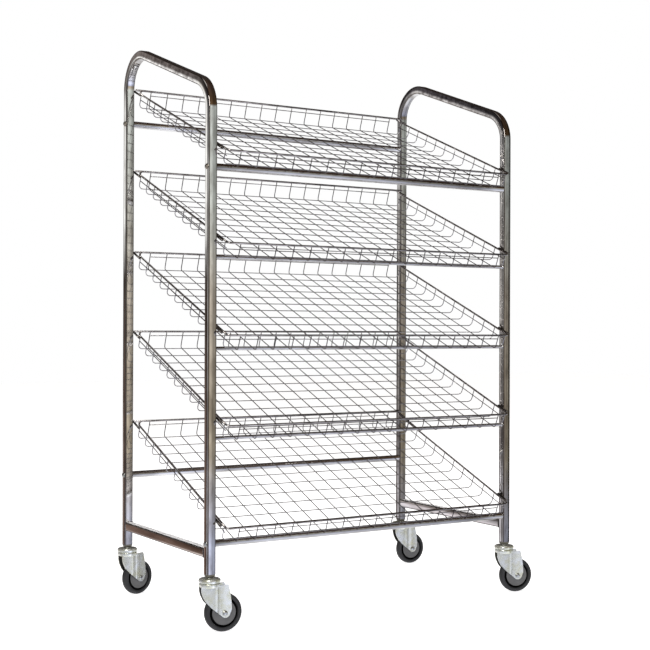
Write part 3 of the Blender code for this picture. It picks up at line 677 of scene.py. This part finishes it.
BEAD_AT, BEAD_REACH, BEAD_DEPTH = 0.0195, 0.0035, 0.0011
SHADED_TO = 0.020                         # the inner faces behind this x are painted dark: painted shade of the crown
INSIDE_SHADE_MARK = 1                           # place of the painted shade in the fork's list of materials


def caster_places():
    """Swivel axis, wheel centre and swivel angle of every caster, from the joints."""
    joints = {j["child"]: j for j in frame["joints"]}
    places = {}
    for name in [f"{end}_{side}" for end in ENDS for side in SIDES]:
        pivot = Vector(joints[f"swivel_{name}"]["pos_m"])
        centre = Vector(joints[f"wheel_{name}"]["pos_m"])
        angle = atan2(centre.y - pivot.y, centre.x - pivot.x)
        places[name] = (Vector((pivot.x, pivot.y, 0)), centre, angle)
    return places


def rounded_block(shell, width, corner, levels, place):
    """Stack of rounded squares: levels holds (inset, height)."""
    rings = []
    for inset, height in levels:
        outline, _ = tube_outline(width / 2 - inset, corner)
        rings.append(shell.ring([place @ Vector((u, v, height)) for u, v in outline]))
    for low, high in zip(rings, rings[1:]):
        shell.band(low, high)
    shell.face(rings[0])
    shell.face(rings[-1])


def cheek_depth(x):
    """How far out the cheek's outer face stands: flat by the axle, then a pressed bead, a jog and a lean."""
    lean = max(0.0, LEAN_FROM - x) * LEAN_SLOPE
    jog = JOG_DEPTH * min(1.0, max(0.0, (JOG_FROM - x) / JOG_RUN))
    bead = BEAD_DEPTH * max(0.0, 1 - abs(x - BEAD_AT) / BEAD_REACH)
    return CHEEK_OUTER - lean - jog - bead


def cheek(shell, side, place):
    """One pressed side plate of the fork."""
    tip = arc(TIP_CENTRE, TIP_RADIUS, TIP_START, TIP_END, TIP_STEPS)
    shape = bmesh.new()
    shape.faces.new([shape.verts.new((x, 0, z)) for x, z in CHEEK_FRONT + tip + CHEEK_REAR])
    cuts = [((x, 0, 0), (1, 0, 0)) for x in CREASES] + [((0, 0, z), (0, 0, 1)) for z in CREASE_LEVELS]
    for point, normal in cuts:
        bmesh.ops.bisect_plane(shape, geom=shape.verts[:] + shape.edges[:] + shape.faces[:],
                               plane_co=point, plane_no=normal)
    verts = list(shape.verts)
    index = {v: k for k, v in enumerate(verts)}
    outside, inside = (shell.ring([place @ Vector((v.co.x, side * (cheek_depth(v.co.x) - inwards), v.co.z))
                                   for v in verts]) for inwards in (0, CHEEK_THICK))
    for f in shape.faces:
        corners = [index[v] for v in f.verts]
        shaded = f.calc_center_median().x < SHADED_TO
        shell.face([outside[k] for k in corners])
        shell.face([inside[k] for k in reversed(corners)], INSIDE_SHADE_MARK if shaded else 0)
    for e in shape.edges:
        if len(e.link_faces) == 1:
            a, b = (index[v] for v in e.verts)
            shell.face((outside[a], outside[b], inside[b], inside[a]))
    shape.free()


def build_foot(name, stand):
    """The plug in the post's foot: its rounded collar below the tube and its spigot inside."""
    shell = Shell()
    rounded_block(shell, TUBE - 2 * GAP, FOOT_CORNER, FOOT_LEVELS, stand)
    rounded_block(shell, TUBE - 2 * TUBE_WALL - 2 * GAP, SPIGOT_CORNER, SPIGOT_LEVELS, stand)
    piece(f"foot_{name}", shell.mesh(f"foot_{name}"), "frame", (PLUG,), "plug_grey", (f"plug_{name}",))


def build_stem(name, stand):
    shell = Shell()
    turned(shell, filleted(STEM, 0.0006, steps=2), stand, steps=32)
    piece(f"pin_{name}", shell.mesh(f"pin_{name}"), "frame", (ZINC_BOLT,), "zinc", (f"stem_{name}",))


def build_race(name, stand):
    shell = Shell()
    bored(shell, filleted(RACE, 0.0016), stand, steps=56)
    piece(f"upper_race_{name}", shell.mesh(f"upper_race_{name}", sharp=50), "frame", (ZINC,), "zinc",
          (f"race_{name}",))


def build_fork(name, swivel):
    """The crown and the two cheeks."""
    shell = Shell()
    bored(shell, filleted(CROWN, 0.0012), swivel, steps=56)
    for way in (-1, 1):
        cheek(shell, way, swivel)
    piece(f"fork_shell_{name}", shell.mesh(f"fork_shell_{name}", sharp=32), f"swivel_{name}",
          (ZINC, ZINC_SHADE), "zinc", (f"fork_{name}",))


def build_axle(name, wheel):
    shell = Shell()
    turned(shell, filleted(mirrored_profile(AXLE), 0.0005, steps=2), wheel, steps=28)
    piece(f"axle_bolt_{name}", shell.mesh(f"axle_bolt_{name}"), f"swivel_{name}", (ZINC_BOLT,), "zinc",
          (f"axle_{name}",))


def build_hub(name, wheel):
    shell = Shell()
    marks = HUB_MARKS + [0] + HUB_MARKS[::-1]
    bored(shell, mirrored_profile(HUB_SIDE), wheel, steps=64, marks=marks)
    piece(f"wheel_centre_{name}", shell.mesh(f"wheel_centre_{name}"), f"wheel_{name}", (HUB, GROOVE_SHADE),
          "hub_grey", (f"hub_{name}",))


def build_tyre(name, wheel):
    shell = Shell()
    bored(shell, filleted(mirrored_profile(TYRE_SIDE), 0.0012, steps=3), wheel, steps=72)
    piece(f"tread_{name}", shell.mesh(f"tread_{name}", sharp=50), f"wheel_{name}", (TYRE,), "tyre_grey",
          (f"tyre_{name}",))


def build_casters():
    for name, (pivot, centre, angle) in caster_places().items():
        stand = Matrix.Translation(pivot)
        turn = Matrix.Rotation(angle, 4, "Z")
        wheel = Matrix.Translation(centre) @ turn @ Matrix.Rotation(-pi / 2, 4, "X")
        build_foot(name, stand)
        build_stem(name, stand)
        build_race(name, stand)
        build_fork(name, stand @ turn)
        build_axle(name, wheel)
        build_hub(name, wheel)
        build_tyre(name, wheel)


# ---- studio ------------------------------------------------------------------------------------------
FLOOR_HALF = 14
FLOOR_DROP = 0.0005
FLOOR_TONE = 0.92
FLOOR_ROUGHNESS = 0.9
FLOOR_GLOW = 0.85                         # keeps the floor as white as the backdrop behind it

# What the chrome reflects. Bands hold (direction's z, colour); strips hold (direction's x, strength).
NEAR_BANDS = [(-1.0, (0.85, 0.86, 0.90)), (-0.32, (0.62, 0.66, 0.84)), (-0.17, (0.40, 0.43, 0.56)),
              (-0.10, (0.30, 0.26, 0.20)), (0.02, (0.36, 0.32, 0.27)), (0.12, (0.46, 0.49, 0.47)),
              (0.24, (0.54, 0.58, 0.57)), (0.34, (0.10, 0.06, 0.03)), (0.93, (0.04, 0.025, 0.02)),
              (0.98, (1.0, 1.0, 1.0))]
NEAR_STRIPS = [(-1.0, 0.6), (0.10, 1.2), (0.28, 1.9), (0.34, 2.0), (0.385, 1.6), (0.42, 1.5), (0.46, 0.90),
               (0.52, 1.0), (0.56, 0.80), (0.60, 0.65), (0.63, 0.40), (0.655, 1.4), (0.685, 0.25),
               (0.77, 0.14), (0.84, 1.0), (1.0, 0.6)]
FLANK_BANDS = [(-1.0, (0.80, 0.80, 0.82)), (-0.45, (0.70, 0.66, 0.64)), (-0.235, (0.58, 0.52, 0.50)),
               (-0.205, (0.11, 0.07, 0.055)), (-0.12, (0.11, 0.07, 0.055)), (0.04, (0.05, 0.04, 0.035)),
               (0.085, (0.70, 0.70, 0.69)), (0.16, (0.74, 0.74, 0.73)), (0.185, (0.12, 0.105, 0.10)),
               (0.30, (0.15, 0.13, 0.125)), (0.45, (0.07, 0.055, 0.05)), (0.90, (0.06, 0.05, 0.045)),
               (0.97, (0.95, 0.95, 0.95))]
FLANK_RIGHT_BANDS = [(-1.0, (0.80, 0.80, 0.82)), (-0.30, (0.70, 0.68, 0.74)), (-0.12, (0.58, 0.56, 0.60)),
                     (-0.085, (0.20, 0.18, 0.18)), (0.0, (0.42, 0.40, 0.39)), (0.06, (0.42, 0.40, 0.39)),
                     (0.12, (0.48, 0.47, 0.47)), (0.155, (0.20, 0.19, 0.195)), (0.18, (0.05, 0.045, 0.05)),
                     (0.90, (0.04, 0.035, 0.035)), (0.97, (0.95, 0.95, 0.95))]
FLANK_STRIPS = [(-1.0, 0.5), (-0.82, 0.3), (-0.73, 0.7), (-0.645, 0.40), (-0.585, 2.0), (-0.53, 0.4),
                (-0.50, 0.35), (-0.455, 0.9), (-0.40, 2.0), (-0.33, 1.9), (-0.28, 0.8), (-0.10, 0.8),
                (1.0, 0.8)]
FAR_BANDS = [(-1.0, (0.92, 0.92, 0.95)), (-0.10, (0.90, 0.90, 0.93)), (-0.05, (0.08, 0.07, 0.06)),
             (0.10, (0.025, 0.02, 0.018)), (0.80, (0.05, 0.04, 0.035)), (0.95, (0.10, 0.09, 0.08)),
             (1.0, (1.0, 1.0, 1.0))]

AIM_HEIGHT = 0.7
LOOK_AT = (MID_X + 0.0234, MID_Y, 0.787)
CAMERA_AZIMUTH = radians(-32.06)
CAMERA_PITCH = radians(0.146)
CAMERA_ROLL = radians(0.206)
CAMERA_DISTANCE = 3.738
CAMERA_LENS = 70.40


def build_floor():
    data = bpy.data.meshes.new("floor")
    shape = bmesh.new()
    bmesh.ops.create_grid(shape, x_segments=1, y_segments=1, size=FLOOR_HALF)
    shape.to_mesh(data)
    shape.free()
    floor = bpy.data.objects.new("floor", data)
    floor.location = (0, 0, -FLOOR_DROP)
    bpy.context.scene.collection.objects.link(floor)
    made = bpy.data.materials.new("studio_floor")
    made.use_nodes = True
    shader = made.node_tree.nodes["Principled BSDF"]
    shader.inputs["Base Color"].default_value = (FLOOR_TONE, FLOOR_TONE, FLOOR_TONE, 1)
    shader.inputs["Roughness"].default_value = FLOOR_ROUGHNESS
    shader.inputs["Emission Color"].default_value = (1, 1, 1, 1)
    shader.inputs["Emission Strength"].default_value = FLOOR_GLOW
    data.materials.append(made)
    floor.visible_glossy = False


class Sky:
    """Steps of the world's node tree, driven by the direction that is looked in."""

    def __init__(self, tree):
        self.nodes, self.links = tree.nodes, tree.links
        self.where = self.nodes.new("ShaderNodeTexCoord").outputs["Generated"]
        parts = self.nodes.new("ShaderNodeSeparateXYZ")
        self.links.new(self.where, parts.inputs["Vector"])
        self.level = self.spread(parts.outputs["Z"], -1.0, 1.0)
        self.sideways = self.spread(parts.outputs["X"], -1.0, 1.0)

    def spread(self, value, start, end):
        """A node that turns start to end into 0 to 1."""
        node = self.nodes.new("ShaderNodeMapRange")
        node.inputs["From Min"].default_value = start
        node.inputs["From Max"].default_value = end
        self.links.new(value, node.inputs["Value"])
        return node

    def ramp(self, stops, driver):
        node = self.nodes.new("ShaderNodeValToRGB")
        band = node.color_ramp
        while len(band.elements) < len(stops):
            band.elements.new(0.5)
        for element, (place, colour) in zip(band.elements, stops):
            element.position = (place + 1) / 2
            element.color = (*colour, 1)
        self.links.new(driver.outputs["Result"], node.inputs["Fac"])
        return node.outputs["Color"]

    def facing(self, direction, start, end):
        """0 to 1 as the look turns towards a direction."""
        dot = self.nodes.new("ShaderNodeVectorMath")
        dot.operation = "DOT_PRODUCT"
        dot.inputs[1].default_value = direction
        self.links.new(self.where, dot.inputs[0])
        node = self.spread(dot.outputs["Value"], start, end)
        node.interpolation_type = "SMOOTHSTEP"
        return node.outputs["Result"]

    def blend(self, factor, first, second):
        mix = self.nodes.new("ShaderNodeMix")
        mix.data_type = "RGBA"
        self.links.new(factor, mix.inputs["Factor"])
        self.links.new(first, mix.inputs["A"])
        self.links.new(second, mix.inputs["B"])
        return mix.outputs["Result"]

    def streaked(self, colour, strengths):
        """The colour times each strip's strength; a ramp holds up to 1, so it holds half of it."""
        strips = self.ramp([(x, (v / 2,) * 3) for x, v in strengths], self.sideways)
        times = self.nodes.new("ShaderNodeVectorMath")
        times.operation = "MULTIPLY"
        self.links.new(colour, times.inputs[0])
        self.links.new(strips, times.inputs[1])
        double = self.nodes.new("ShaderNodeVectorMath")
        double.operation = "SCALE"
        double.inputs["Scale"].default_value = 2.0
        self.links.new(times.outputs["Vector"], double.inputs[0])
        return double.outputs["Vector"]

    def studio(self):
        """Near, beside and beyond the cart, blended into each other."""
        near = self.streaked(self.ramp(NEAR_BANDS, self.level), NEAR_STRIPS)
        flank = self.blend(self.facing((-1, 0, 0), start=0.50, end=0.53), self.ramp(FLANK_BANDS, self.level),
                           self.ramp(FLANK_RIGHT_BANDS, self.level))
        flank = self.streaked(flank, FLANK_STRIPS)
        sky = self.blend(self.facing((-0.20, 1, 0), start=0.10, end=0.45), near, flank)
        beyond = self.facing((0.60, 0.80, 0), start=0.45, end=0.85)
        return self.blend(beyond, sky, self.ramp(FAR_BANDS, self.level))


def build_world():
    """White to the eye; what the chrome reflects is a studio with dark flanks and a bright ceiling."""
    world = bpy.data.worlds.new("studio")
    bpy.context.scene.world = world
    world.use_nodes = True
    nodes, links = world.node_tree.nodes, world.node_tree.links
    nodes.clear()
    reflected = nodes.new("ShaderNodeBackground")
    links.new(Sky(world.node_tree).studio(), reflected.inputs["Color"])
    white = nodes.new("ShaderNodeBackground")
    white.inputs["Color"].default_value = (1, 1, 1, 1)
    seen = nodes.new("ShaderNodeLightPath")
    pick = nodes.new("ShaderNodeMixShader")
    links.new(seen.outputs["Is Camera Ray"], pick.inputs["Fac"])
    links.new(reflected.outputs["Background"], pick.inputs[1])
    links.new(white.outputs["Background"], pick.inputs[2])
    output = nodes.new("ShaderNodeOutputWorld")
    links.new(pick.outputs["Shader"], output.inputs["Surface"])


def add_light(name, place, size, power, mirrored=True):
    """Square area light aimed at the middle of the cart; mirrored says whether the chrome shows it."""
    data = bpy.data.lights.new(name, "AREA")
    data.shape = "RECTANGLE"
    data.size, data.size_y = size, size
    data.energy = power
    lamp = bpy.data.objects.new(name, data)
    lamp.location = place
    lamp.visible_glossy = mirrored
    middle = Vector((MID_X, MID_Y, AIM_HEIGHT))
    lamp.rotation_euler = (middle - Vector(place)).to_track_quat("-Z", "Y").to_euler()
    bpy.context.scene.collection.objects.link(lamp)


def build_lights():
    add_light("key", (-2.6, -2.6, 3.0), size=1.6, power=90)
    add_light("top", (0.2, 0.3, 4.4), size=3.0, power=90, mirrored=False)


def build_camera():
    forward = Vector((-sin(CAMERA_AZIMUTH) * cos(CAMERA_PITCH), cos(CAMERA_AZIMUTH) * cos(CAMERA_PITCH),
                      sin(CAMERA_PITCH)))
    level_right = forward.cross(Vector((0, 0, 1))).normalized()
    level_up = level_right.cross(forward)
    right = level_right * cos(CAMERA_ROLL) + level_up * sin(CAMERA_ROLL)
    up = -level_right * sin(CAMERA_ROLL) + level_up * cos(CAMERA_ROLL)
    data = bpy.data.cameras.new("camera")
    data.sensor_width = 36.0
    data.lens = CAMERA_LENS
    data.clip_end = 60
    camera = bpy.data.objects.new("camera", data)
    turn = Matrix((right, up, -forward)).transposed().to_4x4()
    camera.matrix_world = Matrix.Translation(Vector(LOOK_AT) - forward * CAMERA_DISTANCE) @ turn
    bpy.context.scene.collection.objects.link(camera)
    bpy.context.scene.camera = camera
    bpy.context.scene.view_settings.view_transform = "Standard"


build_hoops()
build_cross_tubes()
build_baskets()
build_casters()
build_floor()
build_world()
build_lights()
build_camera()
